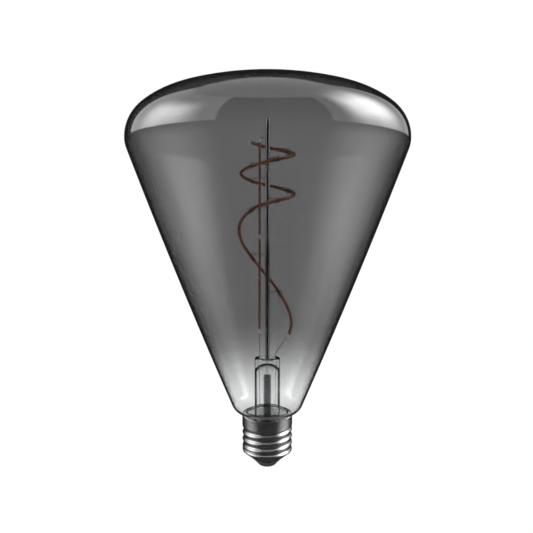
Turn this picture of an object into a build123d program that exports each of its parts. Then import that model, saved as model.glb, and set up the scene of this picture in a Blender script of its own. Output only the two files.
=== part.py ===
from build123d import *
import math
import os

os.makedirs("parts", exist_ok=True)

# Cone bulb on an E27 screw cap, in millimetres. The lamp axis is Z, the cap is down,
# and the origin is the middle of the centre contact's face.

# Glass envelope
lamp_height = 198.0
glass_diameter = 140.0
glass_wall = 0.9
dome_angle = 18.5
crown_radius = 42.0
crown_angle = 39.6
shoulder_radius = 19.8
under_shoulder_radius = 14.0
cone_bow_radius = 3100.0
heel_radius = 7.1
heel_centre_radius = 11.95
heel_lift = 8.3
heel_end_angle = 75.0
neck_radius = 11.4

# Screw cap
cap_height = 27.0
collar_radius = 13.1
collar_length = 5.6
collar_wall = 0.35
thread_pitch = 3.629
thread_cover = 1.6
thread_crest_radius = 13.05
thread_root_radius = 12.05
thread_crest_width = 0.7
thread_foot_width = 2.6
thread_inset = 0.01
thread_wall = 0.4
low_edge_height = 8.5
taper_end_radius = 7.5
taper_end_height = 3.5
taper_wall = 0.75
insulator_nose_radius = 6.9
insulator_nose_drop = 0.5
insulator_floor = 6.4
insulator_rim = 2.75
insulator_hole_radius = 0.6
contact_radius = 4.8
contact_face_radius = 4.1
contact_thickness = 0.6
cement_depth = 4.4
cement_recess = 0.9

# Stem
stem_radius = 6.6
stem_wall = 0.9
stem_top = 57.1
stem_crown = 2.9
stem_bevel = 0.7
stem_dip = 0.6
stem_dip_radius = 4.6
flare_height = 14.1
flare_length = 5.0
mast_socket_depth = 1.0
exhaust_radius = 2.0
exhaust_bore = 1.2
exhaust_top_wall = 0.8
exhaust_neck_radius = 0.7
exhaust_neck_bore = 0.35
exhaust_neck_length = 6.2
exhaust_end_height = 12.6
exhaust_tip_length = 2.4
exhaust_tip_radius = 0.6
blow_hole_radius = 0.4
blow_hole_lift = 0.5

# Mast and filaments
mast_radius = 1.2
mast_top = 179.4
spiral_radius = 13.4
spiral_wire_radius = 0.88
spiral_top = 166.5
spiral_pitch = 19.8
spiral_start_angle = 130.0
spiral_end_angle = -753.0
spiral_steps = 20
spiral_sides = 8
stretch_start_angle = -450.0
stretch_angle = 324.0
stretch_drop = 49.4
stretch_bulge = 1.1
stick_radius = 0.6
stick_offset = 4.05
stick_top = 167.6
stick_length = 46.7
tab_length = 2.0
tab_width = 0.9
tab_thickness = 0.4

# Wires
wire_sides = 6
support_radius = 0.2
support_clearance = 0.3
support_loop_angle = 300.0
support_loop_bends = 7
support_angles = (37.0, -70.0, -124.0, -232.0, -323.0, -430.0, -484.0, -592.0, -663.0)
lead_radius = 0.15
lead_run = 1.6
lead_bend = 1.4
lead_bend_height = 2.6
link_radius = 0.2
link_run = 1.8
link_bend = 0.8

# Driver in the cap
board_height = 9.4
board_thickness = 1.0
board_clearance = 0.25
chip_length = 4.9
chip_width = 3.9
chip_height = 1.5
chip_offset = 6.0
rectifier_length = 4.7
rectifier_width = 3.8
rectifier_height = 1.6
rectifier_offset = 6.0
resistor_radius = 1.1
resistor_length = 5.6
resistor_start = 1.4
resistor_gap = 0.1
resistor_lead_radius = 0.25
resistor_lead_bend = 0.6
resistor_lead_reach = 8.2
shell_wire_radius = 0.3
shell_wire_offset = 8.6
shell_wire_rise = 1.4
shell_wire_bend = 0.6
shell_wire_gap = 0.05


def station(radius, angle, height):
    """Point at a radius, an angle in degrees and a height."""
    turn = math.radians(angle)
    return Vector(radius * math.cos(turn), radius * math.sin(turn), height)


def spiral_point(angle):
    """Point on the spiral filament's middle line, which winds down as the angle falls."""
    turns = (90.0 - angle) / 360.0
    stretch = min(max((stretch_start_angle - angle) / stretch_angle, 0.0), 1.0)
    drop = stretch_drop * stretch * stretch * (3.0 - 2.0 * stretch)
    radius = spiral_radius + stretch_bulge * math.sin(2.0 * math.pi * stretch)
    return station(radius, angle, spiral_top - spiral_pitch * turns - drop)


def write(piece, name):
    """Label a finished piece and write it as one STEP file."""
    piece.part.label = name
    export_step(piece.part, f"parts/{name}.step")


# Glass envelope: dome, crown and shoulder arcs run out to the widest ring. One shallow bowed
# wall then touches the under-shoulder and heel circles, and the heel leads into the neck.
glass_radius = glass_diameter / 2
dome_turn = math.radians(dome_angle)
crown_turn = math.radians(crown_angle)
crown_reach = crown_radius * (math.sin(crown_turn) - math.sin(dome_turn))
shoulder_reach = shoulder_radius * (1.0 - math.sin(crown_turn))
dome_radius = (glass_radius - crown_reach - shoulder_reach) / math.sin(dome_turn)
dome_drop = dome_radius * (1.0 - math.cos(dome_turn))
crown_drop = crown_radius * (math.cos(dome_turn) - math.cos(crown_turn))
ring_height = lamp_height - dome_drop - crown_drop - shoulder_radius * math.cos(crown_turn)

under_centre = Vector(glass_radius - under_shoulder_radius, ring_height)
heel_centre = Vector(heel_centre_radius, cap_height + heel_lift)
span = heel_centre - under_centre
under_gap = cone_bow_radius - under_shoulder_radius
heel_gap = cone_bow_radius - heel_radius
along = (under_gap**2 - heel_gap**2 + span.length**2) / (2.0 * span.length)
across = math.sqrt(under_gap**2 - along**2)
span_way = span.normalized()
bow_centre = under_centre + span_way * along + Vector(span_way.Y, -span_way.X) * across
under_way = under_centre - bow_centre
heel_way = heel_centre - bow_centre
under_lean = -math.degrees(math.atan2(under_way.Y, under_way.X))
heel_lean = -math.degrees(math.atan2(heel_way.Y, heel_way.X))
heel_turn = math.radians(heel_end_angle)
heel_end = heel_centre + Vector(math.cos(heel_turn), -math.sin(heel_turn)) * heel_radius
neck_top = heel_end.Y - (heel_end.X - neck_radius) / math.tan(heel_turn)
neck_bottom = flare_height + stem_wall

with BuildPart() as glass_envelope:
    with BuildSketch(Plane.XZ):
        with BuildLine():
            dome = JernArc((0, lamp_height), (1, 0), dome_radius, -dome_angle)
            crown = JernArc(dome @ 1, dome % 1, crown_radius, dome_angle - crown_angle)
            shoulder = JernArc(crown @ 1, crown % 1, shoulder_radius, crown_angle - 90.0)
            under = JernArc(shoulder @ 1, shoulder % 1, under_shoulder_radius, -under_lean)
            cone = JernArc(under @ 1, under % 1, cone_bow_radius, under_lean - heel_lean)
            heel = JernArc(cone @ 1, cone % 1, heel_radius, heel_lean - heel_end_angle)
            Polyline(heel @ 1, (neck_radius, neck_top), (neck_radius, neck_bottom))
            offset(amount=glass_wall, side=Side.RIGHT, kind=Kind.INTERSECTION)
        make_face()
    revolve(axis=Axis.Z)
write(glass_envelope, "glass_envelope")

# Stem: a tube with a thick closed top that grips the mast, a domed hollow with a thin neck for
# the exhaust tube, and a flare whose edge carries the bulb's neck.
stem_bore = stem_radius - stem_wall
hollow_top = stem_top - stem_crown
dome_base = hollow_top - stem_bore
exhaust_top = hollow_top - exhaust_neck_length
blow_hole_height = hollow_top + blow_hole_lift
flare_top = flare_height + stem_wall + flare_length
board_top = board_height + board_thickness
lead_places = [(-stick_offset, 0), (stick_offset, 0)]

with BuildPart() as stem:
    with BuildSketch(Plane.XZ):
        with BuildLine():
            Polyline(
                (0, stem_top - stem_dip),
                (mast_radius, stem_top - stem_dip),
                (stem_dip_radius, stem_top),
                (stem_radius - stem_bevel, stem_top),
                (stem_radius, stem_top - stem_bevel),
                (stem_radius, flare_top),
                (neck_radius - glass_wall, neck_bottom),
                (neck_radius, neck_bottom),
                (neck_radius, flare_height),
                (neck_radius - stem_wall, flare_height),
                (stem_bore, flare_top - stem_wall),
                (stem_bore, dome_base),
            )
            RadiusArc((stem_bore, dome_base), (0, hollow_top), -stem_bore)
            Line((0, hollow_top), (0, stem_top - stem_dip))
        make_face()
    revolve(axis=Axis.Z)
    with BuildSketch(Plane.XY.offset(exhaust_top)):
        Circle(exhaust_neck_radius)
    extrude(until=Until.NEXT)
    with BuildSketch(Plane.XY.offset(exhaust_top)):
        Circle(exhaust_neck_bore)
    extrude(amount=blow_hole_height - exhaust_top, mode=Mode.SUBTRACT)
    with BuildSketch(Plane.XZ.offset(-stem_radius)):
        with Locations((0, blow_hole_height)):
            Circle(blow_hole_radius)
    extrude(amount=stem_radius, mode=Mode.SUBTRACT)
    mast_bottom = stem_top - stem_dip - mast_socket_depth
    with BuildSketch(Plane.XY.offset(mast_bottom)):
        Circle(mast_radius)
    extrude(amount=mast_socket_depth, mode=Mode.SUBTRACT)
    with BuildSketch(Plane.XY.offset(stem_top)):
        with Locations(*lead_places):
            RegularPolygon(lead_radius, wire_sides, major_radius=False)
    extrude(amount=-(stem_top - dome_base), mode=Mode.SUBTRACT)
write(stem, "stem")

# Exhaust tube: hangs from the stem's thin neck, and is drawn to a sealed tip at its lower end.
exhaust_inner_top = exhaust_top - exhaust_top_wall
tip_start = exhaust_end_height + exhaust_tip_length
with BuildPart() as exhaust_tube:
    with BuildSketch(Plane.XZ):
        Polygon(
            (exhaust_neck_bore, exhaust_top),
            (exhaust_radius, exhaust_top),
            (exhaust_radius, tip_start),
            (exhaust_tip_radius, exhaust_end_height),
            (0, exhaust_end_height),
            (0, tip_start),
            (exhaust_bore, tip_start + exhaust_bore),
            (exhaust_bore, exhaust_inner_top),
            (exhaust_neck_bore, exhaust_inner_top),
            align=None,
        )
    revolve(axis=Axis.Z)
write(exhaust_tube, "exhaust_tube")

# Mast: a polished rod with a rounded top, seated in the stem.
with BuildPart() as mast:
    with BuildSketch(Plane.XY.offset(mast_bottom)):
        Circle(mast_radius)
    extrude(amount=mast_top - mast_bottom)
    fillet(mast.edges().sort_by(Axis.Z)[-1], mast_radius * 0.6)
write(mast, "mast")

# Spiral filament: close turns above, then one long stretched turn.
sweep_angle = (spiral_end_angle - spiral_start_angle) / spiral_steps
spiral_stations = [spiral_point(spiral_start_angle + sweep_angle * i) for i in range(spiral_steps + 1)]
with BuildPart() as spiral_filament:
    with BuildLine() as spiral_route:
        Spline(*spiral_stations)
    with BuildSketch(Plane(spiral_route.line @ 0, z_dir=spiral_route.line % 0)):
        RegularPolygon(spiral_wire_radius, spiral_sides)
    sweep(path=spiral_route.line)
write(spiral_filament, "spiral_filament")
spiral_start = Plane(spiral_route.line @ 0, x_dir=(0, 0, 1), z_dir=-(spiral_route.line % 0))
spiral_end = Plane(spiral_route.line @ 1, x_dir=(0, 0, 1), z_dir=spiral_route.line % 1)

# Straight filaments: two sticks in line beside the mast.
joint_top = stick_top - stick_length
lower_top = joint_top - tab_length
stick_bottom = lower_top - stick_length
for name, top in (("upper_stick_filament", stick_top), ("lower_stick_filament", lower_top)):
    with BuildPart() as stick:
        with BuildSketch(Plane.XY.offset(top)):
            with Locations((-stick_offset, 0)):
                Circle(stick_radius)
        extrude(amount=-stick_length)
    write(stick, name)

# End tabs and the joint between the sticks: short flat strips on the filaments' ends.
tab_planes = {
    "spiral_upper_tab": spiral_start,
    "spiral_lower_tab": spiral_end,
    "stick_upper_tab": Plane((-stick_offset, 0, stick_top)),
    "stick_joint_tab": Plane((-stick_offset, 0, lower_top)),
    "stick_lower_tab": Plane((-stick_offset, 0, stick_bottom), z_dir=(0, 0, -1)),
}
for name, tab_plane in tab_planes.items():
    with BuildPart() as tab:
        with BuildSketch(tab_plane):
            Rectangle(tab_width, tab_thickness)
        extrude(amount=tab_length)
    write(tab, name)

# Support wires: each runs out from the mast over the spiral and closes round it in a loop, which
# is wider where the spiral is steeper.
for number, angle in enumerate(support_angles, start=1):
    middle = spiral_point(angle)
    rise = spiral_point(angle + 1.0) - spiral_point(angle - 1.0)
    slope_length = rise.length / math.hypot(rise.X, rise.Y)
    loop_radius = spiral_wire_radius * slope_length + support_clearance + support_radius
    reach = math.hypot(middle.X, middle.Y)
    outward = Vector(middle.X, middle.Y).normalized()
    support_plane = Plane((0, 0, middle.Z), x_dir=outward, z_dir=(outward.Y, -outward.X, 0))
    loop_bends = []
    for bend in range(support_loop_bends + 1):
        turn = math.radians(90.0 - support_loop_angle * bend / support_loop_bends)
        loop_bends.append((reach + loop_radius * math.cos(turn), loop_radius * math.sin(turn)))
    with BuildPart() as support:
        with BuildLine(support_plane) as support_route:
            Polyline((mast_radius, loop_radius), *loop_bends)
        with BuildSketch(Plane(support_route.line @ 0, z_dir=support_route.line % 0)):
            RegularPolygon(support_radius, wire_sides)
        sweep(path=support_route.line, transition=Transition.RIGHT)
    write(support, f"support_wire_{number}")

# Lead wires: from the lower tabs through the stem's top to the driver board.
stick_lead_top = stick_bottom - tab_length
with BuildPart() as stick_lead:
    with BuildSketch(Plane.XY.offset(board_top)):
        with Locations((-stick_offset, 0)):
            RegularPolygon(lead_radius, wire_sides)
    extrude(amount=stick_lead_top - board_top)
write(stick_lead, "stick_lead_wire")

lead_start = spiral_end.origin + spiral_end.z_dir * tab_length
with BuildPart() as spiral_lead:
    with BuildLine() as lead_route:
        FilletPolyline(
            lead_start,
            lead_start + spiral_end.z_dir * lead_run,
            (stick_offset, 0, stem_top + lead_bend_height),
            (stick_offset, 0, board_top),
            radius=lead_bend,
        )
    with BuildSketch(Plane(lead_route.line @ 0, z_dir=lead_route.line % 0)):
        RegularPolygon(lead_radius, wire_sides)
    sweep(path=lead_route.line)
write(spiral_lead, "spiral_lead_wire")

# Top link: joins the upper tabs of the spiral and the sticks, and ends on the mast.
link_start = spiral_start.origin + spiral_start.z_dir * tab_length
link_height = stick_top + tab_length + link_radius
with BuildPart() as top_link:
    with BuildLine() as link_route:
        FilletPolyline(
            link_start,
            link_start + spiral_start.z_dir * link_run,
            (-stick_offset, 0, link_height),
            (-mast_radius, 0, link_height),
            radius=link_bend,
        )
    with BuildSketch(Plane(link_route.line @ 0, z_dir=link_route.line % 0)):
        RegularPolygon(link_radius, wire_sides)
    sweep(path=link_route.line)
write(top_link, "top_link_wire")

# Screw shell: plain collar, right-hand thread, and a taper to the open bottom. The thread leaves
# the low edge's ring and runs up under the collar.
crest_half = thread_crest_width / 2
foot_half = thread_foot_width / 2
thread_depth = thread_crest_radius - thread_root_radius
thread_bore = thread_root_radius - thread_wall
collar_bore = collar_radius - collar_wall
collar_bottom = cap_height - collar_length
collar_step = collar_radius - thread_root_radius
thread_length = collar_bottom + thread_cover - low_edge_height
bore_step = collar_bore - thread_bore
taper_top = low_edge_height - crest_half
taper_slope = (taper_top - taper_end_height) / (thread_crest_radius - taper_end_radius)
taper_inner_end = taper_end_height + taper_wall
taper_inner_top = taper_inner_end + (thread_bore - taper_end_radius) * taper_slope
ridge_crest = thread_crest_radius - thread_inset
ridge_base = thread_root_radius - thread_wall / 2
ridge_base_half = foot_half + (foot_half - crest_half) / thread_depth * thread_wall / 2

with BuildPart() as screw_shell:
    with BuildSketch(Plane.XZ):
        Polygon(
            (0, cap_height),
            (collar_radius, cap_height),
            (collar_radius, collar_bottom),
            (thread_root_radius, collar_bottom - collar_step),
            (thread_root_radius, low_edge_height + foot_half),
            (thread_crest_radius, low_edge_height + crest_half),
            (thread_crest_radius, taper_top),
            (taper_end_radius, taper_end_height),
            (0, taper_end_height),
            align=None,
        )
    revolve(axis=Axis.Z)
    with BuildLine() as thread_route:
        Helix(thread_pitch, thread_length, thread_root_radius, center=(0, 0, low_edge_height))
    with BuildSketch(Plane.XZ):
        with Locations((0, low_edge_height)):
            Polygon(
                (ridge_base, -ridge_base_half),
                (ridge_crest, -crest_half),
                (ridge_crest, crest_half),
                (ridge_base, ridge_base_half),
                align=None,
            )
    sweep(path=thread_route.line, is_frenet=True)
    with BuildSketch(Plane.XZ):
        Polygon(
            (0, cap_height),
            (collar_bore, cap_height),
            (collar_bore, collar_bottom),
            (thread_bore, collar_bottom - bore_step),
            (thread_bore, taper_inner_top),
            (taper_end_radius, taper_inner_end),
            (taper_end_radius, taper_end_height),
            (0, taper_end_height),
            align=None,
        )
    revolve(axis=Axis.Z, mode=Mode.SUBTRACT)
write(screw_shell, "screw_shell")

# Cap insulator: fills the shell's taper, carries the driver board on its rim and holds the
# centre contact on its nose.
with BuildPart() as cap_insulator:
    with BuildSketch(Plane.XZ):
        Polygon(
            (insulator_hole_radius, insulator_floor),
            (thread_bore - insulator_rim, insulator_floor),
            (thread_bore - insulator_rim, board_height),
            (thread_bore, board_height),
            (thread_bore, taper_inner_top),
            (taper_end_radius, taper_inner_end),
            (taper_end_radius, taper_end_height),
            (insulator_nose_radius, taper_end_height),
            (insulator_nose_radius, taper_end_height - insulator_nose_drop),
            (contact_radius, contact_thickness),
            (insulator_hole_radius, contact_thickness),
            align=None,
        )
    revolve(axis=Axis.Z)
write(cap_insulator, "cap_insulator")

# Centre contact: a disc with a bevelled edge.
with BuildPart() as centre_contact:
    with BuildSketch(Plane.XZ):
        Polygon(
            (0, 0),
            (contact_face_radius, 0),
            (contact_radius, contact_thickness),
            (0, contact_thickness),
            align=None,
        )
    revolve(axis=Axis.Z)
write(centre_contact, "centre_contact")

# Cap cement: a ring between the neck and the collar.
cement_top = cap_height - cement_recess
with BuildPart() as cap_cement:
    with BuildSketch(Plane.XY.offset(cement_top)):
        Circle(collar_bore)
        Circle(neck_radius, mode=Mode.SUBTRACT)
    extrude(amount=-cement_depth)
write(cap_cement, "cap_cement")

# Driver board on the insulator's rim, with the chip and the rectifier on it.
with BuildPart() as driver_board:
    with BuildSketch(Plane.XY.offset(board_height)):
        Circle(thread_bore - board_clearance)
    extrude(amount=board_thickness)
write(driver_board, "driver_board")

with BuildPart() as driver_chip:
    with BuildSketch(Plane.XY.offset(board_top)):
        with Locations((0, chip_offset)):
            Rectangle(chip_length, chip_width)
    extrude(amount=chip_height)
write(driver_chip, "driver_chip")

with BuildPart() as bridge_rectifier:
    with BuildSketch(Plane.XY.offset(board_top)):
        with Locations((0, -rectifier_offset)):
            Rectangle(rectifier_length, rectifier_width)
    extrude(amount=rectifier_height)
write(bridge_rectifier, "bridge_rectifier")

# Fusible resistor: lies under the board, with one wire up to it and one down to the contact.
resistor_height = board_height - resistor_gap - resistor_radius
with BuildPart() as fusible_resistor:
    with BuildLine() as resistor_route:
        FilletPolyline(
            (0, 0, contact_thickness),
            (0, 0, resistor_height),
            (resistor_lead_reach, 0, resistor_height),
            (resistor_lead_reach, 0, board_height),
            radius=resistor_lead_bend,
        )
    with BuildSketch(Plane.XY.offset(contact_thickness)):
        RegularPolygon(resistor_lead_radius, wire_sides)
    sweep(path=resistor_route.line)
    with BuildSketch(Plane.YZ.offset(resistor_start)):
        with Locations((0, resistor_height)):
            Circle(resistor_radius)
    extrude(amount=resistor_length)
write(fusible_resistor, "fusible_resistor")

# Shell wire: from the board to the inside of the shell.
shell_wire_height = board_top + shell_wire_rise
with BuildPart() as shell_wire:
    with BuildLine() as shell_wire_route:
        FilletPolyline(
            (-shell_wire_offset, 0, board_top),
            (-shell_wire_offset, 0, shell_wire_height),
            (shell_wire_gap - thread_bore, 0, shell_wire_height),
            radius=shell_wire_bend,
        )
    with BuildSketch(Plane.XY.offset(board_top)):
        with Locations((-shell_wire_offset, 0)):
            RegularPolygon(shell_wire_radius, wire_sides)
    sweep(path=shell_wire_route.line)
write(shell_wire, "shell_wire")
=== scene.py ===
"""Cone bulb: finishes, smooth pieces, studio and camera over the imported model."""

import logging
import math
from dataclasses import dataclass, field

import bmesh
import bpy
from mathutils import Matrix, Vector


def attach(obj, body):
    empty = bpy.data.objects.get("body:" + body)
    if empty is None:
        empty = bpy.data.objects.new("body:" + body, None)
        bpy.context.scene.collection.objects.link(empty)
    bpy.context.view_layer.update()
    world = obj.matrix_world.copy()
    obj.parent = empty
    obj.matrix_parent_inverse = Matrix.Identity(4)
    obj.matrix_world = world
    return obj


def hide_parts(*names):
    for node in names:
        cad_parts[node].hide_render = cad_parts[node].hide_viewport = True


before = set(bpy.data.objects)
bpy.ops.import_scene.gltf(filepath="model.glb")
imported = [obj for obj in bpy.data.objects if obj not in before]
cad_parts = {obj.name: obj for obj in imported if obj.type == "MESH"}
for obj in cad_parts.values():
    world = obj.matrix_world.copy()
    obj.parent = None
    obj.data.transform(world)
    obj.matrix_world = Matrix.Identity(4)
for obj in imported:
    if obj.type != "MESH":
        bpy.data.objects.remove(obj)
LOG = logging.getLogger("cone_bulb")
MM = 0.001
BODY = "root"

# Points closer than these, in metres, become one.
SEAM = 1e-6
WIRE_SEAM = 1e-7
THREAD_SEAM = 2e-6

# Edges bent by more degrees than these stay crisp.
CREASE = 32.0
WIRE_CREASE = 50.0
SHELL_CREASE = 40.0

WIRE_ROUNDING = 3
BOUNCES = 32

Pair = tuple[float, float]
Triple = tuple[float, float, float]
Colour = Triple
Stop = tuple[float, Colour]
Socket = bpy.types.NodeSocket
Material = bpy.types.Material
Piece = bpy.types.Object
Mesh = bmesh.types.BMesh


class Tree:
    """A node tree under construction, with the few node patterns that finishes and room share."""

    def __init__(self, tree: bpy.types.NodeTree) -> None:
        """Work on a tree."""
        self.nodes = tree.nodes
        self.links = tree.links

    def add(self, kind: str, **settings: object) -> bpy.types.Node:
        """Add a node.

        Args:
            kind: Blender's name for the node type.
            settings: Values for the node's own properties.

        Returns:
            The new node.
        """
        node = self.nodes.new(kind)
        for key, value in settings.items():
            setattr(node, key, value)
        return node

    def span(self, value: Socket, low: float, high: float, start: float, end: float) -> Socket:
        """Map a value from one range to another, held at the ends.

        Args:
            value: Value to map.
            low: Value that gives start.
            high: Value that gives end.
            start: Result at low.
            end: Result at high.

        Returns:
            The mapped value.
        """
        node = self.add("ShaderNodeMapRange", interpolation_type="SMOOTHSTEP")
        self.links.new(value, node.inputs["Value"])
        for key, number in (("From Min", low), ("From Max", high), ("To Min", start), ("To Max", end)):
            node.inputs[key].default_value = number
        return node.outputs["Result"]

    def maths(self, operation: str, *values: Socket | float) -> Socket:
        """Join values by one sum.

        Args:
            operation: Blender's name for the sum.
            values: Its terms, linked or fixed.

        Returns:
            The result.
        """
        node = self.add("ShaderNodeMath", operation=operation)
        for socket, value in zip(node.inputs, values):
            if isinstance(value, float):
                socket.default_value = value
            else:
                self.links.new(value, socket)
        return node.outputs[0]

    def pick(self, factor: Socket, first: Socket, second: Socket, kind: str = "FLOAT") -> Socket:
        """Go from one number or colour to another.

        Args:
            factor: 0 for the first and 1 for the second.
            first: First number or colour.
            second: Second number or colour.
            kind: FLOAT for numbers and RGBA for colours.

        Returns:
            What lies between.
        """
        node = self.add("ShaderNodeMix", data_type=kind)
        for socket, value in (("Factor", factor), ("A", first), ("B", second)):
            self.links.new(value, node.inputs[socket])
        return node.outputs["Result"]

    def ramp(self, value: Socket, stops: list[Stop]) -> Socket:
        """Turn a value from 0 to 1 into a colour.

        Args:
            value: Value that picks the colour.
            stops: Positions and colours, in order.

        Returns:
            The colour.
        """
        node = self.add("ShaderNodeValToRGB")
        while len(node.color_ramp.elements) < len(stops):
            node.color_ramp.elements.new(0.5)
        for element, (position, colour) in zip(node.color_ramp.elements, stops):
            element.position = position
            element.color = (*colour, 1.0)
        self.links.new(value, node.inputs["Fac"])
        return node.outputs["Color"]


class Recipe(Tree):
    """A material under construction."""

    def __init__(self, name: str) -> None:
        """Start a material that holds one Principled shader.

        Args:
            name: Name of the finish.
        """
        self.material = bpy.data.materials.new(name)
        self.material.use_nodes = True
        super().__init__(self.material.node_tree)
        self.shader = self.nodes["Principled BSDF"]

    def fix(self, socket: str, value: object) -> None:
        """Set one of the shader's own sockets."""
        self.shader.inputs[socket].default_value = value

    def feed(self, output: Socket, socket: str) -> None:
        """Link an output to one of the shader's sockets."""
        self.links.new(output, self.shader.inputs[socket])

    def place(self) -> Socket:
        """Give the object coordinates."""
        return self.add("ShaderNodeTexCoord").outputs["Object"]

    def height(self) -> Socket:
        """Give the height above the contact.

        Returns:
            The height in metres.
        """
        split = self.add("ShaderNodeSeparateXYZ")
        self.links.new(self.place(), split.inputs[0])
        return split.outputs["Z"]

    def noise(self, scale: float, detail: float = 3.0, stretch: Triple = (1.0, 1.0, 1.0)) -> Socket:
        """Add a noise pattern on object coordinates.

        Args:
            scale: Pattern repeats in a metre.
            detail: Octaves of finer noise.
            stretch: Scale along each axis.

        Returns:
            The pattern's value.
        """
        mapping = self.add("ShaderNodeMapping")
        mapping.inputs["Scale"].default_value = stretch
        self.links.new(self.place(), mapping.inputs["Vector"])
        noise = self.add("ShaderNodeTexNoise")
        noise.inputs["Scale"].default_value = scale
        noise.inputs["Detail"].default_value = detail
        self.links.new(mapping.outputs["Vector"], noise.inputs["Vector"])
        return noise.outputs["Fac"]

    def bump(self, value: Socket, depth: float, strength: float) -> None:
        """Raise the surface by a pattern.

        Args:
            value: Pattern.
            depth: Height of the pattern in metres.
            strength: Share of the height that shows.
        """
        node = self.add("ShaderNodeBump")
        node.inputs["Distance"].default_value = depth
        node.inputs["Strength"].default_value = strength
        self.links.new(value, node.inputs["Height"])
        self.feed(node.outputs["Normal"], "Normal")


def glaze(recipe: Recipe, face: Socket, edge: Socket, slant: Pair, ior: float) -> None:
    """Turn a finish into clear glass that is darker where the wall is crossed at a slant.

    Args:
        recipe: Finish to turn.
        face: Colour of the wall, crossed squarely.
        edge: Colour of the wall, crossed along its face; for the tube glass it is a painted dark outline, far
            darker than the glass's own absorption.
        slant: Where the darkening starts and ends, from 0 for square to 1 for along the face.
        ior: Index of refraction.
    """
    weight = recipe.add("ShaderNodeLayerWeight")
    lean = recipe.span(weight.outputs["Facing"], *slant, 0.0, 1.0)
    recipe.feed(recipe.pick(lean, face, edge, "RGBA"), "Base Color")
    recipe.fix("Transmission Weight", 1.0)
    recipe.fix("Roughness", 0.0)
    recipe.fix("IOR", ior)


@dataclass(frozen=True)
class SmokedGlass:
    """Blown glass with a smoke tint that fades out above the foot."""

    smoke: Colour = (0.362, 0.362, 0.366)
    smoke_edge: Colour = (0.31, 0.31, 0.314)
    foot: Colour = (0.94, 0.945, 0.945)
    foot_edge: Colour = (0.88, 0.885, 0.885)
    fade_low: float = 40.0
    fade_high: float = 80.0
    drift: float = 0.012
    drift_scale: float = 14.0
    slant: Pair = (0.2, 0.95)
    ior: float = 1.48

    def material(self) -> Material:
        """Build the glass.

        Returns:
            The material.
        """
        recipe = Recipe("smoked_glass")
        drift = recipe.noise(self.drift_scale, 2.0)
        level = recipe.maths("MULTIPLY_ADD", drift, self.drift, recipe.height())
        fade = recipe.span(level, self.fade_low * MM, self.fade_high * MM, 0.0, 1.0)
        face = recipe.ramp(fade, [(0.0, self.foot), (1.0, self.smoke)])
        edge = recipe.ramp(fade, [(0.0, self.foot_edge), (1.0, self.smoke_edge)])
        glaze(recipe, face, edge, self.slant, self.ior)
        return recipe.material


@dataclass(frozen=True)
class ClearGlass:
    """Clear or grey tube glass, with a painted dark outline above the flare where the wall is seen at a
    slant.
    """

    name: str
    tint: Colour
    # At a slant: a painted dark outline, far darker than the tube glass's own absorption.
    edge: Colour
    slant: Pair = (0.5, 0.95)
    ior: float = 1.5
    flare_low: float = 28.0
    flare_high: float = 34.0
    streak_scale: float = 60.0
    streak_share: float = 0.97

    def material(self) -> Material:
        """Build the glass.

        Returns:
            The material.
        """
        recipe = Recipe(self.name)
        streaks = recipe.noise(self.streak_scale, 2.0)
        face, dark = (
            recipe.ramp(streaks, [(0.3, colour), (0.7, tuple(self.streak_share * part for part in colour))])
            for colour in (self.tint, self.edge)
        )
        # Above the flare the slanted wall takes the painted dark outline; below it the wall keeps its own
        # tint at every angle.
        above = recipe.span(recipe.height(), self.flare_low * MM, self.flare_high * MM, 0.0, 1.0)
        glaze(recipe, face, recipe.pick(above, face, dark, "RGBA"), self.slant, self.ior)
        return recipe.material


@dataclass(frozen=True)
class BrightMetal:
    """Plated, polished or drawn metal with fine marks."""

    name: str
    light: Colour
    dull: Colour
    smooth: float = 0.08
    rough: float = 0.2
    mark_scale: float = 400.0
    stretch: Triple = (1.0, 1.0, 1.0)
    metallic: float = 1.0
    bump_depth: float = 0.00002
    bump_strength: float = 0.15

    def material(self) -> Material:
        """Build the metal.

        Returns:
            The material.
        """
        recipe = Recipe(self.name)
        marks = recipe.noise(self.mark_scale, 4.0, self.stretch)
        recipe.feed(recipe.ramp(marks, [(0.3, self.dull), (0.65, self.light)]), "Base Color")
        recipe.feed(recipe.span(marks, 0.3, 0.7, self.rough, self.smooth), "Roughness")
        recipe.bump(marks, self.bump_depth, self.bump_strength)
        recipe.fix("Metallic", self.metallic)
        return recipe.material


@dataclass(frozen=True)
class SolidCoat:
    """Opaque coat, moulding or cement with a fine mottle."""

    name: str
    light: Colour
    dark: Colour
    roughness: float = 0.45
    mottle_scale: float = 900.0
    bump_depth: float = 0.00004
    bump_strength: float = 0.3
    sheen: float = 0.0
    sheen_roughness: float = 0.12
    rougher: float = 0.06
    smoother: float = 0.04

    def material(self) -> Material:
        """Build the coat.

        Returns:
            The material.
        """
        recipe = Recipe(self.name)
        mottle = recipe.noise(self.mottle_scale, 4.0)
        recipe.feed(recipe.ramp(mottle, [(0.32, self.dark), (0.68, self.light)]), "Base Color")
        dull, bright = self.roughness + self.rougher, self.roughness - self.smoother
        recipe.feed(recipe.span(mottle, 0.3, 0.7, dull, bright), "Roughness")
        recipe.bump(mottle, self.bump_depth, self.bump_strength)
        recipe.fix("Coat Weight", self.sheen)
        recipe.fix("Coat Roughness", self.sheen_roughness)
        return recipe.material


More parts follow.
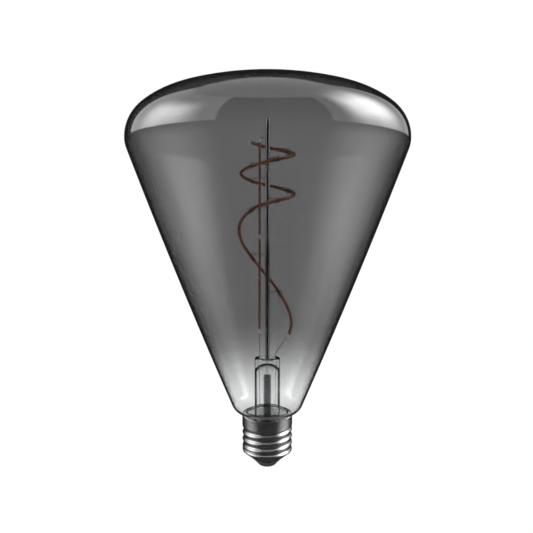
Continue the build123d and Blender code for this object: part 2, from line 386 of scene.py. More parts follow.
@dataclass
class Finishes:
    """Every finish of the lamp, built once."""

    smoked: Material = field(default_factory=SmokedGlass().material)
    # The last colour of each tube glass is a painted dark outline where the wall is seen at a slant.
    clear: Material = field(
        default_factory=ClearGlass("clear_glass", (0.97, 0.98, 0.98), (0.1, 0.1, 0.1), ior=1.2).material
    )
    dark_glass: Material = field(
        default_factory=ClearGlass("dark_glass", (0.36, 0.36, 0.365), (0.1, 0.1, 0.1), ior=1.12).material
    )
    mast: Material = field(
        default_factory=BrightMetal(
            "polished_metal", (0.92, 0.92, 0.93), (0.84, 0.84, 0.85), 0.03, 0.06, 300.0, (6.0, 6.0, 0.3)
        ).material
    )
    wire: Material = field(
        default_factory=BrightMetal(
            "wire_metal", (0.06, 0.06, 0.06), (0.04, 0.04, 0.04), 0.14, 0.28, 900.0
        ).material
    )
    nickel: Material = field(
        default_factory=BrightMetal(
            "nickel", (0.3, 0.3, 0.3), (0.24, 0.24, 0.24), 0.17, 0.24, 260.0, (1.0, 1.0, 4.0), 0.92
        ).material
    )
    contact: Material = field(
        default_factory=BrightMetal(
            "contact_metal", (0.66, 0.66, 0.64), (0.5, 0.5, 0.48), 0.22, 0.38, 500.0
        ).material
    )
    filament: Material = field(
        default_factory=SolidCoat(
            "filament_coat", (0.146, 0.063, 0.034), (0.118, 0.048, 0.025), 0.32, 700.0, 0.00003, 0.25, 0.25
        ).material
    )
    tinned: Material = field(
        default_factory=SolidCoat("tinned_tab", (0.42, 0.42, 0.415), (0.36, 0.36, 0.355), 0.4, 900.0).material
    )
    insulator: Material = field(
        default_factory=SolidCoat("black_insulator", (0.06, 0.06, 0.063), (0.045, 0.045, 0.047), 0.3).material
    )
    cement: Material = field(
        default_factory=SolidCoat(
            "cement", (0.93, 0.93, 0.92), (0.85, 0.85, 0.84), 0.85, 700.0, 0.0001, 0.6
        ).material
    )
    laminate: Material = field(
        default_factory=SolidCoat("board_laminate", (0.8, 0.8, 0.77), (0.7, 0.7, 0.67), 0.4, 1200.0).material
    )
    moulding: Material = field(
        default_factory=SolidCoat(
            "black_moulding", (0.045, 0.045, 0.045), (0.03, 0.03, 0.03), 0.6, 2500.0
        ).material
    )
    resistor: Material = field(
        default_factory=SolidCoat(
            "resistor_coat", (0.45, 0.58, 0.62), (0.38, 0.5, 0.55), 0.35, 600.0
        ).material
    )


def dress(piece: Piece, finish: Material) -> None:
    """Give a piece one finish."""
    piece.data.materials.clear()
    piece.data.materials.append(finish)


def settle(mesh: Mesh, name: str, sharp: float = CREASE) -> Piece:
    """Close a bmesh into a smooth-shaded object that rides on the lamp.

    Args:
        mesh: Finished bmesh.
        name: Name of the piece.
        sharp: Edges bent by more degrees than this stay crisp.

    Returns:
        The new object.
    """
    data = bpy.data.meshes.new(name)
    mesh.to_mesh(data)
    mesh.free()
    for polygon in data.polygons:
        polygon.use_smooth = True
    data.set_sharp_from_angle(angle=math.radians(sharp))
    piece = bpy.data.objects.new(name, data)
    bpy.context.scene.collection.objects.link(piece)
    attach(piece, BODY)
    return piece


class Lathe:
    """An outline in the XZ plane, drawn by turning and pulling one point, then turned about Z."""

    def __init__(self, radius: float, height: float) -> None:
        """Start the outline at a point.

        Args:
            radius: Distance from the axis in millimetres.
            height: Height in millimetres.
        """
        self.mesh = bmesh.new()
        self.tip = self.mesh.verts.new((radius * MM, 0.0, height * MM))

    def line(self, radius: float, height: float) -> "Lathe":
        """Pull the outline straight to a point.

        Args:
            radius: Distance from the axis in millimetres.
            height: Height in millimetres.

        Returns:
            This outline.
        """
        made = bmesh.ops.extrude_vert_indiv(self.mesh, verts=[self.tip])
        self.tip = made["verts"][0]
        self.tip.co = (radius * MM, 0.0, height * MM)
        return self

    def path(self, points: tuple[Pair, ...]) -> "Lathe":
        """Pull the outline straight through several points.

        Args:
            points: Radius and height of each point, in millimetres.

        Returns:
            This outline.
        """
        for radius, height in points:
            self.line(radius, height)
        return self

    def turn(self, centre: Pair, degrees: float, steps: int) -> "Lathe":
        """Swing the outline about a centre.

        Args:
            centre: Radius and height of the centre.
            degrees: Angle, positive from up towards outward.
            steps: Straight steps in the arc.

        Returns:
            This outline.
        """
        made = bmesh.ops.spin(
            self.mesh,
            geom=[self.tip],
            cent=(centre[0] * MM, 0.0, centre[1] * MM),
            axis=(0.0, 1.0, 0.0),
            angle=math.radians(degrees),
            steps=steps,
        )
        self.tip = next(part for part in made["geom_last"] if isinstance(part, bmesh.types.BMVert))
        return self

    def revolve(self, steps: int) -> Mesh:
        """Turn the outline a full circle about the lamp's axis.

        Args:
            steps: Facets round the axis.

        Returns:
            The closed bmesh.
        """
        bmesh.ops.spin(
            self.mesh,
            geom=list(self.mesh.verts) + list(self.mesh.edges),
            cent=(0.0, 0.0, 0.0),
            axis=(0.0, 0.0, 1.0),
            angle=math.tau,
            steps=steps,
            use_merge=True,
        )
        bmesh.ops.remove_doubles(self.mesh, verts=self.mesh.verts, dist=SEAM)
        bmesh.ops.recalc_face_normals(self.mesh, faces=self.mesh.faces)
        return self.mesh


def tube(name: str, route: list[Vector], radius: float) -> Piece:
    """Make a round wire along a route, as a mesh.

    Args:
        name: Name of the piece.
        route: Points on the middle line, in millimetres.
        radius: Wire radius in millimetres.

    Returns:
        The wire.
    """
    curve = bpy.data.curves.new(name, "CURVE")
    curve.dimensions = "3D"
    curve.bevel_depth = radius * MM
    curve.bevel_resolution = WIRE_ROUNDING
    curve.use_fill_caps = True
    spline = curve.splines.new("POLY")
    spline.points.add(len(route) - 1)
    for point, place in zip(spline.points, route):
        point.co = (*(place * MM), 1.0)
    holder = bpy.data.objects.new(name + "_route", curve)
    bpy.context.scene.collection.objects.link(holder)
    bpy.context.view_layer.update()
    data = bpy.data.meshes.new_from_object(holder.evaluated_get(bpy.context.evaluated_depsgraph_get()))
    bpy.data.objects.remove(holder)
    mesh = bmesh.new()
    mesh.from_mesh(data)
    bpy.data.meshes.remove(data)
    bmesh.ops.remove_doubles(mesh, verts=mesh.verts, dist=WIRE_SEAM)
    bmesh.ops.recalc_face_normals(mesh, faces=mesh.faces)
    return settle(mesh, name, WIRE_CREASE)


@dataclass
class Envelope:
    """The blown glass: dome, crown, shoulder, bowed cone, heel and neck."""

    height: float = 198.0
    bends: tuple[tuple[float, float, int], ...] = (
        (155.6106, 18.5, 14),
        (42.0, 39.6, 10),
        (19.8, 90.0, 20),
        (14.0, 110.01743, 8),
        (3100.0, 112.59405, 40),
        (7.1, 165.0, 18),
    )
    neck_radius: float = 11.32
    neck_top: float = 27.8
    neck_bottom: float = 15.0
    wall: float = 0.9
    facets: int = 160

    def build(self, finish: Material) -> Piece:
        """Turn the outer wall and give it its thickness.

        Args:
            finish: Glass.

        Returns:
            The envelope.
        """
        outline = Lathe(0.0, self.height)
        radius, lean = self.bends[0][0], 0.0
        centre = Vector((0.0, self.height - radius))
        for bend, end, steps in self.bends:
            way = Vector((math.sin(math.radians(lean)), math.cos(math.radians(lean))))
            centre = centre + way * (radius - bend)
            outline.turn((centre.x, centre.y), end - lean, steps)
            radius, lean = bend, end
        outline.line(self.neck_radius, self.neck_top).line(self.neck_radius, self.neck_bottom)
        piece = settle(outline.revolve(self.facets), "glass_envelope_smooth")
        wall = piece.modifiers.new("wall", "SOLIDIFY")
        wall.thickness = self.wall * MM
        wall.offset = -1.0
        wall.use_even_offset = True
        dress(piece, finish)
        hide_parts("glass_envelope")
        return piece


@dataclass
class Stem:
    """Stem tube with its thick top and flare, and the exhaust tube on its thin neck."""

    radius: float = 6.6
    bore: float = 5.7
    top: float = 57.1
    hollow_top: float = 54.2
    dip: float = 0.6
    dip_radius: float = 4.6
    edge: float = 0.7
    mast_radius: float = 1.2
    socket: float = 1.0
    wall: float = 0.9
    neck_radius: float = 11.32
    neck_end: float = 15.0
    flare_low: float = 14.1
    flare_top: float = 20.0
    flare_rise: float = 2.0
    flare_swell: float = 0.6
    neck_sink: float = 0.5
    tube_radius: float = 2.0
    tube_bore: float = 1.2
    tube_top: float = 48.0
    tube_top_wall: float = 0.8
    tube_neck: float = 0.7
    tube_neck_bore: float = 0.35
    tip_height: float = 12.6
    tip_top: float = 15.6
    tip_centre: float = 0.4
    tip_swing: float = 50.0
    tip_radius: float = 0.6
    tip_bevel: float = 0.1
    bore_bottom: float = 15.0
    bore_start: float = 16.2
    facets: int = 96
    tube_facets: int = 48

    def stem(self, finish: Material) -> Piece:
        """Build the stem.

        Args:
            finish: Glass.

        Returns:
            The stem.
        """
        seat = self.top - self.dip
        inner = self.neck_radius - self.wall
        outline = Lathe(0.0, seat - self.socket)
        outline.line(self.mast_radius, seat - self.socket).line(self.mast_radius, seat)
        outline.line(self.dip_radius, self.top).line(self.radius - self.edge, self.top)
        outline.turn((self.radius - self.edge, self.top - self.edge), 90.0, 6)
        outline.line(self.radius, self.flare_top + self.flare_rise)
        outline.line(self.radius + self.flare_swell, self.flare_top).line(inner, self.neck_end)
        outline.line(self.neck_radius, self.neck_end).line(self.neck_radius, self.flare_low)
        outline.line(inner, self.flare_low).line(self.bore, self.flare_top - self.wall)
        outline.line(self.bore, self.hollow_top - self.bore)
        reach = math.degrees(math.asin(self.tube_neck / self.bore))
        outline.turn((0.0, self.hollow_top - self.bore), reach - 90.0, 14)
        outline.line(self.tube_neck, self.tube_top).line(self.tube_neck_bore, self.tube_top)
        end = self.hollow_top + self.neck_sink
        outline.line(self.tube_neck_bore, end).line(0.0, end)
        piece = settle(outline.revolve(self.facets), "stem_smooth")
        dress(piece, finish)
        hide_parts("stem")
        return piece

    def exhaust(self, finish: Material) -> Piece:
        """Build the exhaust tube.

        Args:
            finish: Glass.

        Returns:
            The tube.
        """
        outline = Lathe(self.tube_neck_bore, self.tube_top).line(self.tube_radius, self.tube_top)
        outline.line(self.tube_radius, self.tip_top)
        outline.turn((self.tip_centre, self.tip_top), self.tip_swing, 6)
        outline.line(self.tip_radius, self.tip_height + self.tip_bevel).line(0.0, self.tip_height)
        outline.line(0.0, self.bore_bottom).line(self.tube_bore, self.bore_start)
        inner_top = self.tube_top - self.tube_top_wall
        outline.line(self.tube_bore, inner_top).line(self.tube_neck_bore, inner_top)
        outline.line(self.tube_neck_bore, self.tube_top)
        piece = settle(outline.revolve(self.tube_facets), "exhaust_tube_smooth")
        dress(piece, finish)
        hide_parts("exhaust_tube")
        return piece


@dataclass
class Filaments:
    """The mast, the spiral, the sticks and every wire that carries them."""

    mast_radius: float = 1.2
    mast_bottom: float = 55.5
    mast_top: float = 179.4
    mast_round: float = 0.72
    mast_facets: int = 48
    spiral_radius: float = 13.4
    spiral_wire: float = 0.88
    spiral_top: float = 166.5
    pitch: float = 19.8
    start_angle: float = 130.0
    end_angle: float = -753.0
    stretch_start: float = -450.0
    stretch_angle: float = 324.0
    stretch_drop: float = 49.4
    stretch_bulge: float = 1.1
    spiral_steps: int = 200
    stick_radius: float = 0.6
    stick_round: float = 0.25
    stick_facets: int = 32
    stick_offset: float = 4.05
    stick_top: float = 167.6
    stick_length: float = 46.7
    tab: float = 2.0
    support_radius: float = 0.2
    support_clearance: float = 0.3
    support_loop: float = 300.0
    support_steps: int = 28
    support_angles: tuple[float, ...] = (
        37.0, -70.0, -124.0, -232.0, -323.0, -430.0, -484.0, -592.0, -663.0
    )
    lead_radius: float = 0.15
    lead_run: float = 1.6
    lead_bend: float = 2.6
    lead_round: float = 1.4
    link_radius: float = 0.2
    link_run: float = 1.8
    link_round: float = 0.8
    bend_steps: int = 8
    board_top: float = 10.4
    stem_top: float = 57.1

    def spiral_point(self, angle: float) -> Vector:
        """Give a point on the spiral's middle line.

        Args:
            angle: Angle about the mast in degrees, falling as the spiral winds down.

        Returns:
            The point in millimetres.
        """
        stretch = min(max((self.stretch_start - angle) / self.stretch_angle, 0.0), 1.0)
        drop = self.stretch_drop * stretch * stretch * (3.0 - 2.0 * stretch)
        radius = self.spiral_radius + self.stretch_bulge * math.sin(math.tau * stretch)
        turn = math.radians(angle)
        height = self.spiral_top - self.pitch * (90.0 - angle) / 360.0 - drop
        return Vector((radius * math.cos(turn), radius * math.sin(turn), height))

    def spiral_way(self, angle: float) -> Vector:
        """Give the spiral's downward direction at an angle."""
        return (self.spiral_point(angle - 0.5) - self.spiral_point(angle + 0.5)).normalized()

    def mast(self, finish: Material) -> Piece:
        """Build the mast with its rounded top.

        Args:
            finish: Metal.

        Returns:
            The mast.
        """
        shoulder = self.mast_top - self.mast_round
        outline = Lathe(0.0, self.mast_bottom).line(self.mast_radius, self.mast_bottom)
        outline.line(self.mast_radius, shoulder)
        outline.turn((self.mast_radius - self.mast_round, shoulder), -90.0, 6)
        outline.line(0.0, self.mast_top)
        piece = settle(outline.revolve(self.mast_facets), "mast_smooth")
        dress(piece, finish)
        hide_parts("mast")
        return piece

    def spiral(self, finish: Material) -> Piece:
        """Build the spiral filament.

        Args:
            finish: Coat.

        Returns:
            The filament.
        """
        span = (self.end_angle - self.start_angle) / self.spiral_steps
        route = [self.spiral_point(self.start_angle + span * step) for step in range(self.spiral_steps + 1)]
        piece = tube("spiral_filament_smooth", route, self.spiral_wire)
        dress(piece, finish)
        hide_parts("spiral_filament")
        return piece

    def stick(self, name: str, top: float, finish: Material) -> Piece:
        """Build one straight filament.

        Args:
            name: CAD node that it stands for.
            top: Height of its upper end.
            finish: Coat.

        Returns:
            The filament.
        """
        soft = self.stick_round
        low = top - self.stick_length
        outline = Lathe(0.0, low).line(self.stick_radius - soft, low)
        outline.turn((self.stick_radius - soft, low + soft), -90.0, 4)
        outline.line(self.stick_radius, top - soft)
        outline.turn((self.stick_radius - soft, top - soft), -90.0, 4)
        outline.line(0.0, top)
        mesh = outline.revolve(self.stick_facets)
        bmesh.ops.translate(mesh, verts=mesh.verts, vec=(-self.stick_offset * MM, 0.0, 0.0))
        piece = settle(mesh, name + "_smooth")
        dress(piece, finish)
        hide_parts(name)
        return piece

    def support(self, number: int, angle: float, finish: Material) -> Piece:
        """Build one support wire.

        Args:
            number: Number of the CAD node.
            angle: Angle where it holds the spiral.
            finish: Metal.

        Returns:
            The wire.
        """
        middle = self.spiral_point(angle)
        rise = self.spiral_point(angle + 1.0) - self.spiral_point(angle - 1.0)
        slope = rise.length / math.hypot(rise.x, rise.y)
        loop = self.spiral_wire * slope + self.support_clearance + self.support_radius
        reach = math.hypot(middle.x, middle.y)
        outward = Vector((middle.x, middle.y, 0.0)) / reach
        up = Vector((0.0, 0.0, 1.0))
        route = [outward * self.mast_radius + up * (middle.z + loop)]
        for step in range(self.support_steps + 1):
            turn = math.radians(90.0 - self.support_loop * step / self.support_steps)
            route.append(outward * (reach + loop * math.cos(turn)) + up * (middle.z + loop * math.sin(turn)))
        name = f"support_wire_{number}"
        piece = tube(name + "_smooth", route, self.support_radius)
        dress(piece, finish)
        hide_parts(name)
        return piece

    def rounded(self, corners: list[Vector], radius: float) -> list[Vector]:
        """Round the inner corners of a bent wire's route.

        Args:
            corners: Ends and corners of the route.
            radius: Bend radius in millimetres.

        Returns:
            Points along the rounded route.
        """
        route = [corners[0]]
        for before, corner, after in zip(corners, corners[1:], corners[2:]):
            back, ahead = (before - corner).normalized(), (after - corner).normalized()
            half = back.angle(ahead) / 2.0
            centre = corner + (back + ahead).normalized() * (radius / math.sin(half))
            first = corner + back * (radius / math.tan(half)) - centre
            last = corner + ahead * (radius / math.tan(half)) - centre
            shares = (step / self.bend_steps for step in range(self.bend_steps + 1))
            route.extend(centre + first.slerp(last, share) for share in shares)
        return route + [corners[-1]]

    def leads(self, finish: Material) -> list[Piece]:
        """Build the two lead wires and the top link.

        Args:
            finish: Metal.

        Returns:
            The three wires.
        """
        stick_foot = self.stick_top - 2.0 * self.stick_length - 2.0 * self.tab
        side = Vector((-self.stick_offset, 0.0, 0.0))
        straight = [side + Vector((0.0, 0.0, stick_foot)), side + Vector((0.0, 0.0, self.board_top))]
        down = self.spiral_way(self.end_angle)
        tail = self.spiral_point(self.end_angle) + down * self.tab
        bent = [
            tail,
            tail + down * self.lead_run,
            Vector((self.stick_offset, 0.0, self.stem_top + self.lead_bend)),
            Vector((self.stick_offset, 0.0, self.board_top)),
        ]
        up = -self.spiral_way(self.start_angle)
        head = self.spiral_point(self.start_angle) + up * self.tab
        link_height = self.stick_top + self.tab + self.link_radius
        link = [
            head,
            head + up * self.link_run,
            Vector((-self.stick_offset, 0.0, link_height)),
            Vector((-self.mast_radius, 0.0, link_height)),
        ]
        pieces = []
        for name, route, radius in (
            ("stick_lead_wire", straight, self.lead_radius),
            ("spiral_lead_wire", self.rounded(bent, self.lead_round), self.lead_radius),
            ("top_link_wire", self.rounded(link, self.link_round), self.link_radius),
        ):
            piece = tube(name + "_smooth", route, radius)
            dress(piece, finish)
            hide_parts(name)
            pieces.append(piece)
        return pieces


@dataclass
class ScrewCap:
    """Nickel shell with its rolled thread, the black insulator and the contact."""

    rim_height: float = 27.0
    collar_radius: float = 13.1
    collar_wall: float = 0.35
    collar_bottom: float = 21.4
    collar_round: float = 0.25
    skirt_inner: float = 1.1
    skirt_outer: float = 0.9
    skirt_inset: float = 0.1
    pitch: float = 3.629
    turns: int = 5
    thread_cover: float = 0.3
    thread_lap: float = 0.1
    crest: float = 13.04
    root: float = 12.05
    bore: float = 11.65
    edge_height: float = 8.5
    edge_round: float = 0.8
    edge_start: float = 140.0
    edge_swing: float = 100.0
    edge_reach: float = 1.254
    edge_inset: float = 0.05
    low_top: float = 12.0
    low_bend: float = 7.9
    taper_radius: float = 7.5
    taper_height: float = 3.47
    taper_wall: float = 0.75
    facets: int = 128
    insulator_start: Pair = (0.6, 6.4)
    insulator_cup: tuple[Pair, ...] = (
        (8.9, 6.4), (8.9, 9.4), (11.65, 9.4), (11.65, 7.95), (7.5, 4.3), (7.5, 3.5), (7.2, 3.5)
    )
    insulator_round: Pair = (7.2, 3.2)
    insulator_swing: float = 70.0
    insulator_face: tuple[Pair, ...] = ((5.1, 0.72), (4.8, 0.62), (0.6, 0.62), (0.6, 6.4))
    insulator_facets: int = 96
    contact_radius: float = 4.8
    contact_thickness: float = 0.6
    contact_round: Pair = (4.2, 0.6)
    contact_dish: tuple[Pair, ...] = ((1.7, 0.0), (1.4, 0.12), (0.0, 0.14))
    contact_facets: int = 72

    def thread(self) -> Mesh:
        """Roll the wave of the thread up the shell and trim it under the collar and at the low edge.

        Returns:
            The thread's skin.
        """
        depth, half = self.crest - self.root, self.pitch / 2.0
        curve = (depth * depth + half * half) / (4.0 * depth)
        swing = math.degrees(math.asin(half / (2.0 * curve)))
        low = self.edge_height - half - self.pitch
        wave = Lathe(self.root, low)
        wave.turn((self.root + curve, low), swing, 5)
        wave.turn((self.crest - curve, low + half), -2.0 * swing, 10)
        wave.turn((self.root + curve, low + self.pitch), swing, 5)
        mesh = wave.mesh
        bmesh.ops.spin(
            mesh,
            geom=list(mesh.verts) + list(mesh.edges),
            cent=(0.0, 0.0, 0.0),
            axis=(0.0, 0.0, 1.0),
            dvec=(0.0, 0.0, self.pitch * MM / self.facets),
            angle=math.tau * self.turns,
            steps=self.facets * self.turns,
        )
        bmesh.ops.remove_doubles(mesh, verts=mesh.verts, dist=THREAD_SEAM)
        top, bottom = self.collar_bottom + self.thread_cover, self.edge_height + self.thread_lap
        for height, way in ((top, 1.0), (bottom, -1.0)):
            bmesh.ops.bisect_plane(
                mesh,
                geom=list(mesh.verts) + list(mesh.edges) + list(mesh.faces),
                plane_co=(0.0, 0.0, height * MM),
                plane_no=(0.0, 0.0, way),
                clear_outer=True,
            )
        bmesh.ops.recalc_face_normals(mesh, faces=mesh.faces)
        return mesh

    def shell(self, finish: Material) -> Piece:
        """Join the collar, the thread and the low edge into one shell.

        Args:
            finish: Metal.

        Returns:
            The shell.
        """
        inner = self.collar_radius - self.collar_wall
        lip = self.collar_wall / 2.0
        fillet = self.collar_round
        collar = Lathe(self.bore, self.collar_bottom - self.skirt_inner).line(inner, self.collar_bottom)
        collar.line(inner, self.rim_height - lip)
        collar.turn((inner + lip, self.rim_height - lip), 180.0, 8)
        collar.line(self.collar_radius, self.collar_bottom + fillet)
        collar.turn((self.collar_radius - fillet, self.collar_bottom + fillet), 60.0, 4)
        collar.line(self.root - self.skirt_inset, self.collar_bottom - self.skirt_outer)
        low = Lathe(self.bore, self.low_top).line(self.bore, self.low_bend)
        low.line(self.taper_radius, self.taper_height + self.taper_wall)
        low.line(self.taper_radius, self.taper_height)
        turn = math.radians(self.edge_start)
        edge = (self.crest - self.edge_round, self.edge_height)
        low.line(edge[0] + self.edge_round * math.sin(turn), edge[1] + self.edge_round * math.cos(turn))
        low.turn(edge, -self.edge_swing, 10)
        low.line(self.root - self.edge_inset, self.edge_height + self.edge_reach)
        skin = bmesh.new()
        for part in (collar.revolve(self.facets), low.revolve(self.facets), self.thread()):
            data = bpy.data.meshes.new("shell_part")
            part.to_mesh(data)
            part.free()
            skin.from_mesh(data)
            bpy.data.meshes.remove(data)
        piece = settle(skin, "screw_shell_smooth", SHELL_CREASE)
        dress(piece, finish)
        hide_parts("screw_shell")
        return piece

    def insulator(self, finish: Material) -> Piece:
        """Build the insulator with its rounded nose.

        Args:
            finish: Moulding.

        Returns:
            The insulator.
        """
        outline = Lathe(*self.insulator_start).path(self.insulator_cup)
        outline.turn(self.insulator_round, self.insulator_swing, 5).path(self.insulator_face)
        piece = settle(outline.revolve(self.insulator_facets), "cap_insulator_smooth")
        dress(piece, finish)
        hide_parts("cap_insulator")
        return piece

    def contact(self, finish: Material) -> Piece:
        """Build the contact with its rounded edge and pressed middle.

        Args:
            finish: Metal.

        Returns:
            The contact.
        """
        outline = Lathe(0.0, self.contact_thickness).line(self.contact_radius, self.contact_thickness)
        outline.turn(self.contact_round, 90.0, 8).path(self.contact_dish)
        piece = settle(outline.revolve(self.contact_facets), "centre_contact_smooth")
        dress(piece, finish)
        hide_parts("centre_contact")
        return piece


@dataclass(frozen=True)
class SoftBox:
    """One glowing patch of the tent.

    Each edge goes from dark to full, round the lamp in degrees and by height in sines.
    """

    name: str
    near_edge: Pair
    far_edge: Pair
    low_edge: Pair
    high_edge: Pair
    strength: float

    def glow(self, tree: Tree, turn: Socket, rise: Socket) -> Socket:
        """Paint the patch.

        Args:
            tree: Node tree of the room.
            turn: Angle round the lamp, from the camera, in radians.
            rise: Sine of the height angle.

        Returns:
            Brightness by direction.
        """
        near = tree.span(turn, *(math.radians(edge) for edge in self.near_edge), 0.0, self.strength)
        far = tree.span(turn, *(math.radians(edge) for edge in self.far_edge), 0.0, 1.0)
        low = tree.span(rise, *self.low_edge, 0.0, 1.0)
        high = tree.span(rise, *self.high_edge, 0.0, 1.0)
        patch = tree.maths("MULTIPLY", tree.maths("MULTIPLY", near, far), tree.maths("MULTIPLY", low, high))
        patch.node.label = self.name
        return patch


@dataclass
class Studio:
    """White floor and room, a dark tent with soft boxes, and the camera of the photo."""

    camera_place: Triple = (0.0, -281.36, 129.29)
    camera_pitch: float = 5.02
    camera_roll: float = -0.085
    focal_pixels: float = 550.0
    image_pixels: float = 533.0
    axis_pixel: float = 267.55
    sensor: float = 36.0
    clip_start: float = 0.01
    floor_height: float = -120.0
    floor_reach: float = 6000.0
    floor_glow: float = 1.02
    floor_share: float = 0.95
    room_light: float = 0.7
    inside_light: float = 6.0
    cloth: float = 0.02
    ceiling: float = 0.95
    ceiling_edge: Pair = (0.82, 0.86)
    boxes: tuple[SoftBox, ...] = (
        SoftBox("left", (-50.0, -78.0), (-123.0, -92.0), (0.1, 0.14), (0.76, 0.5), 3.4),
        SoftBox("left_core", (-50.0, -78.0), (-121.0, -88.0), (0.1, 0.45), (0.77, 0.5), 2.7),
        SoftBox("left_cloth", (-37.0, -40.0), (-133.0, -130.0), (0.1, 0.14), (0.86, 0.82), 1.35),
        SoftBox("right", (58.0, 84.0), (133.0, 98.0), (0.1, 0.14), (0.94, 0.66), 2.6),
        SoftBox("right_core", (58.0, 84.0), (133.0, 98.0), (0.12, 0.56), (0.94, 0.66), 7.2),
        SoftBox("right_cloth", (47.0, 51.0), (145.0, 141.0), (0.1, 0.14), (0.86, 0.82), 0.85),
        SoftBox("low_left", (-36.0, -82.0), (-128.0, -82.0), (-0.75, -0.45), (0.3, -0.5), 1.2),
        SoftBox("low_right", (40.0, 86.0), (132.0, 86.0), (-0.75, -0.45), (0.3, -0.5), 1.55),
    )
    inner_sides: tuple[SoftBox, ...] = (
        SoftBox("inner_left", (-38.0, -46.0), (-150.0, -120.0), (-0.04, 0.03), (0.3, 0.25), 1.2),
        SoftBox("inner_right", (38.0, 46.0), (150.0, 120.0), (-0.04, 0.03), (0.3, 0.25), 1.2),
    )
    inner_band: tuple[float, float, float, float] = (-0.04, 0.03, 0.25, 0.3)
    lamp_aim: Triple = (0.0, 0.0, 150.0)
    lamp_size: float = 260.0
    lamps: tuple[tuple[str, Triple, float], ...] = (
        ("box_right", (420.0, -260.0, 620.0), 6.0),
        ("box_left", (-420.0, -260.0, 620.0), 3.0),
    )

    def backdrop_material(self) -> Material:
        """Build the floor's white, which shows as plain white to the eye and keeps its shadow.

        Returns:
            The material.
        """
        recipe = Recipe("white_floor")
        mottle = recipe.noise(3.0, 2.0)
        recipe.feed(recipe.ramp(mottle, [(0.3, (0.86, 0.86, 0.86)), (0.7, (0.9, 0.9, 0.9))]), "Base Color")
        recipe.fix("Roughness", 0.9)
        glow = recipe.add("ShaderNodeEmission")
        glow.inputs["Strength"].default_value = self.floor_glow
        rays = recipe.add("ShaderNodeLightPath")
        share = recipe.maths("MULTIPLY", rays.outputs["Is Camera Ray"], self.floor_share)
        mix = recipe.add("ShaderNodeMixShader")
        recipe.links.new(share, mix.inputs[0])
        recipe.links.new(recipe.shader.outputs[0], mix.inputs[1])
        recipe.links.new(glow.outputs[0], mix.inputs[2])
        recipe.links.new(mix.outputs[0], recipe.nodes["Material Output"].inputs["Surface"])
        return recipe.material

    def floor(self) -> None:
        """Lay the white floor below the lamp."""
        reach = self.floor_reach
        mesh = bmesh.new()
        sides = ((-reach, -reach), (reach, -reach), (reach, reach), (-reach, reach))
        mesh.faces.new([mesh.verts.new(Vector((x, y, self.floor_height)) * MM) for x, y in sides])
        data = bpy.data.meshes.new("floor")
        mesh.to_mesh(data)
        mesh.free()
        data.materials.append(self.backdrop_material())
        floor = bpy.data.objects.new("floor", data)
        bpy.context.scene.collection.objects.link(floor)
        floor.visible_glossy = False
        floor.visible_transmission = False

    def tent(self, tree: Tree, inside: Socket) -> Socket:
        """Paint what the glass and the metal mirror: a dark tent, a pale ceiling and soft boxes.

        Args:
            tree: Node tree of the room.
            inside: 1 for what is mirrored inside the bulb, where wires see the pale sides of the room.

        Returns:
            Brightness by direction.
        """
        split = tree.add("ShaderNodeSeparateXYZ")
        tree.links.new(tree.add("ShaderNodeTexCoord").outputs["Generated"], split.inputs[0])
        rise = split.outputs["Z"]
        front = tree.maths("MULTIPLY", split.outputs["Y"], -1.0)
        turn = tree.maths("ARCTAN2", split.outputs["X"], front)
        total = tree.span(rise, *self.ceiling_edge, self.cloth, self.ceiling)
        for box in self.boxes:
            total = tree.maths("ADD", total, box.glow(tree, turn, rise))
        sides = tree.maths("ADD", *(box.glow(tree, turn, rise) for box in self.inner_sides))
        low_start, low_end, high_start, high_end = self.inner_band
        above = tree.span(rise, low_start, low_end, 0.0, 1.0)
        below = tree.span(rise, high_start, high_end, 1.0, 0.0)
        band = tree.maths("MULTIPLY", above, below)
        return tree.pick(tree.maths("MULTIPLY", band, inside), total, sides)

    def world(self) -> None:
        """Light the room.

        It is white to the eye and through the glass, it shows the tent to whatever mirrors it, and it
        shines harder on the dull pieces inside the glass than on those outside.
        """
        world = bpy.data.worlds.new("white_room")
        world.use_nodes = True
        bpy.context.scene.world = world
        tree = Tree(world.node_tree)
        rays = tree.add("ShaderNodeLightPath")
        seen = tree.maths("MAXIMUM", rays.outputs["Is Camera Ray"], rays.outputs["Is Transmission Ray"])
        scattered = tree.span(rays.outputs["Diffuse Depth"], 0.0, 1.0, 1.0, self.inside_light)
        outside = tree.span(seen, 0.0, 1.0, self.room_light / self.inside_light, 1.0)
        plain = tree.maths("MULTIPLY", outside, scattered)
        mirrored = tree.maths(
            "MULTIPLY",
            tree.span(rays.outputs["Glossy Depth"], 0.0, 1.0, 0.0, 1.0),
            tree.span(rays.outputs["Diffuse Depth"], 0.0, 1.0, 1.0, 0.0),
        )
        inside = tree.span(rays.outputs["Transmission Depth"], 2.0, 3.0, 0.0, 1.0)
        level = tree.pick(mirrored, plain, self.tent(tree, inside))
        tree.links.new(level, tree.nodes["Background"].inputs["Strength"])
        tree.nodes["Background"].inputs["Color"].default_value = (1.0, 1.0, 1.0, 1.0)

    def lights(self) -> None:
        """Hang the lamps that light the cap and the floor."""
        for name, place, power in self.lamps:
            light = bpy.data.lights.new(name, "AREA")
            light.shape = "RECTANGLE"
            light.size = light.size_y = self.lamp_size * MM
            light.energy = power
            lamp = bpy.data.objects.new(name, light)
            lamp.location = Vector(place) * MM
            lamp.rotation_euler = (Vector(self.lamp_aim) - Vector(place)).to_track_quat("-Z", "Y").to_euler()
            lamp.visible_glossy = False
            lamp.visible_transmission = False
            bpy.context.scene.collection.objects.link(lamp)

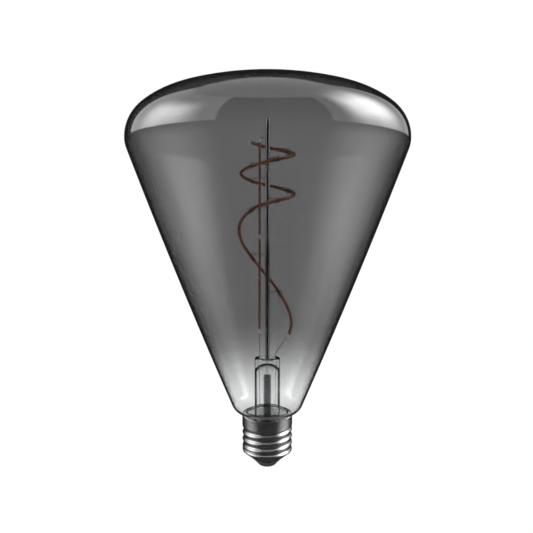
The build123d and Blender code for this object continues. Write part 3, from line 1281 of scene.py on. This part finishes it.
    def camera(self) -> None:
        """Set the camera of the photo."""
        data = bpy.data.cameras.new("camera")
        data.sensor_width = self.sensor
        data.lens = self.focal_pixels / self.image_pixels * self.sensor
        data.shift_x = (self.image_pixels / 2.0 - self.axis_pixel) / self.image_pixels
        data.clip_start = self.clip_start
        camera = bpy.data.objects.new("camera", data)
        camera.location = Vector(self.camera_place) * MM
        tilt = math.radians(90.0 - self.camera_pitch)
        camera.rotation_euler = (tilt, math.radians(self.camera_roll), 0.0)
        bpy.context.scene.collection.objects.link(camera)
        bpy.context.scene.camera = camera


def carried(names: tuple[str, ...], finish: Material) -> None:
    """Dress CAD nodes that stay as they are.

    Args:
        names: Names of the nodes.
        finish: Material.
    """
    for name in names:
        dress(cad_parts[name], finish)
        LOG.info("dressed %s", name)


def main() -> None:
    """Build the lamp, the studio and the camera."""
    logging.basicConfig(level=logging.INFO, format="%(name)s: %(message)s")
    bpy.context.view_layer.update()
    finishes = Finishes()
    filaments, stem, cap = Filaments(), Stem(), ScrewCap()
    lower_top = filaments.stick_top - filaments.stick_length - filaments.tab
    supports = enumerate(filaments.support_angles, start=1)
    pieces = [
        Envelope().build(finishes.smoked),
        stem.stem(finishes.clear),
        stem.exhaust(finishes.dark_glass),
        filaments.mast(finishes.mast),
        filaments.spiral(finishes.filament),
        filaments.stick("upper_stick_filament", filaments.stick_top, finishes.filament),
        filaments.stick("lower_stick_filament", lower_top, finishes.filament),
        *filaments.leads(finishes.mast),
        *(filaments.support(number, angle, finishes.wire) for number, angle in supports),
        cap.shell(finishes.nickel),
        cap.insulator(finishes.insulator),
        cap.contact(finishes.contact),
    ]
    for piece in pieces:
        LOG.info("built %s", piece.name)
    carried(("spiral_upper_tab", "spiral_lower_tab"), finishes.tinned)
    carried(("stick_upper_tab", "stick_joint_tab", "stick_lower_tab"), finishes.tinned)
    carried(("shell_wire",), finishes.wire)
    carried(("cap_cement",), finishes.cement)
    carried(("driver_board",), finishes.laminate)
    carried(("driver_chip", "bridge_rectifier"), finishes.moulding)
    carried(("fusible_resistor",), finishes.resistor)
    studio = Studio()
    studio.floor()
    studio.world()
    studio.lights()
    studio.camera()
    bpy.context.scene.view_settings.view_transform = "Standard"
    bpy.context.scene.cycles.max_bounces = BOUNCES
    bpy.context.scene.cycles.transmission_bounces = BOUNCES


if __name__ == "__main__":
    main()
